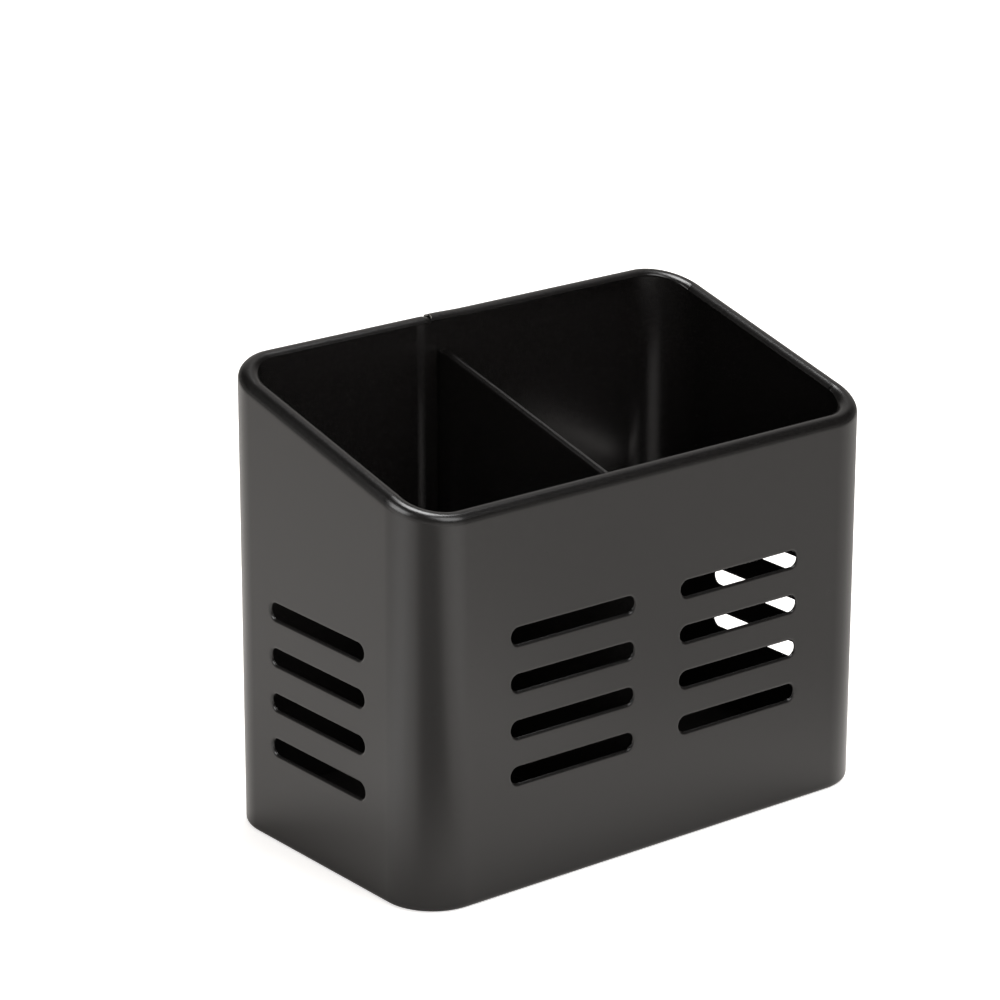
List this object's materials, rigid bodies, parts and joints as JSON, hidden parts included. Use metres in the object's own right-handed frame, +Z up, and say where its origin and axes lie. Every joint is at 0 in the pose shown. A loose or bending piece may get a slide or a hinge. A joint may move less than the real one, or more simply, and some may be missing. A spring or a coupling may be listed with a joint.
{
  "type": "cutlery basket",
  "caption": "Open rectangular cutlery basket of black coated sheet steel, with a slanted rolled rim, slotted walls, a raised floor and a middle divider.",
  "frame": {"origin": "middle of the footprint, on the surface that the basket stands on", "axes": "+X along the front wall, to the right seen from the front; +Y from the low front wall to the high back wall; +Z up"},
  "size_m": [0.1878, 0.1068, 0.1567],
  "materials": {
    "powder_coated_steel": "satin black powder coat"
  },
  "bodies": {
    "root": {"slotted_wall": "powder_coated_steel", "floor_panel": "powder_coated_steel", "divider_panel": "powder_coated_steel"}
  },
  "joints": []
}
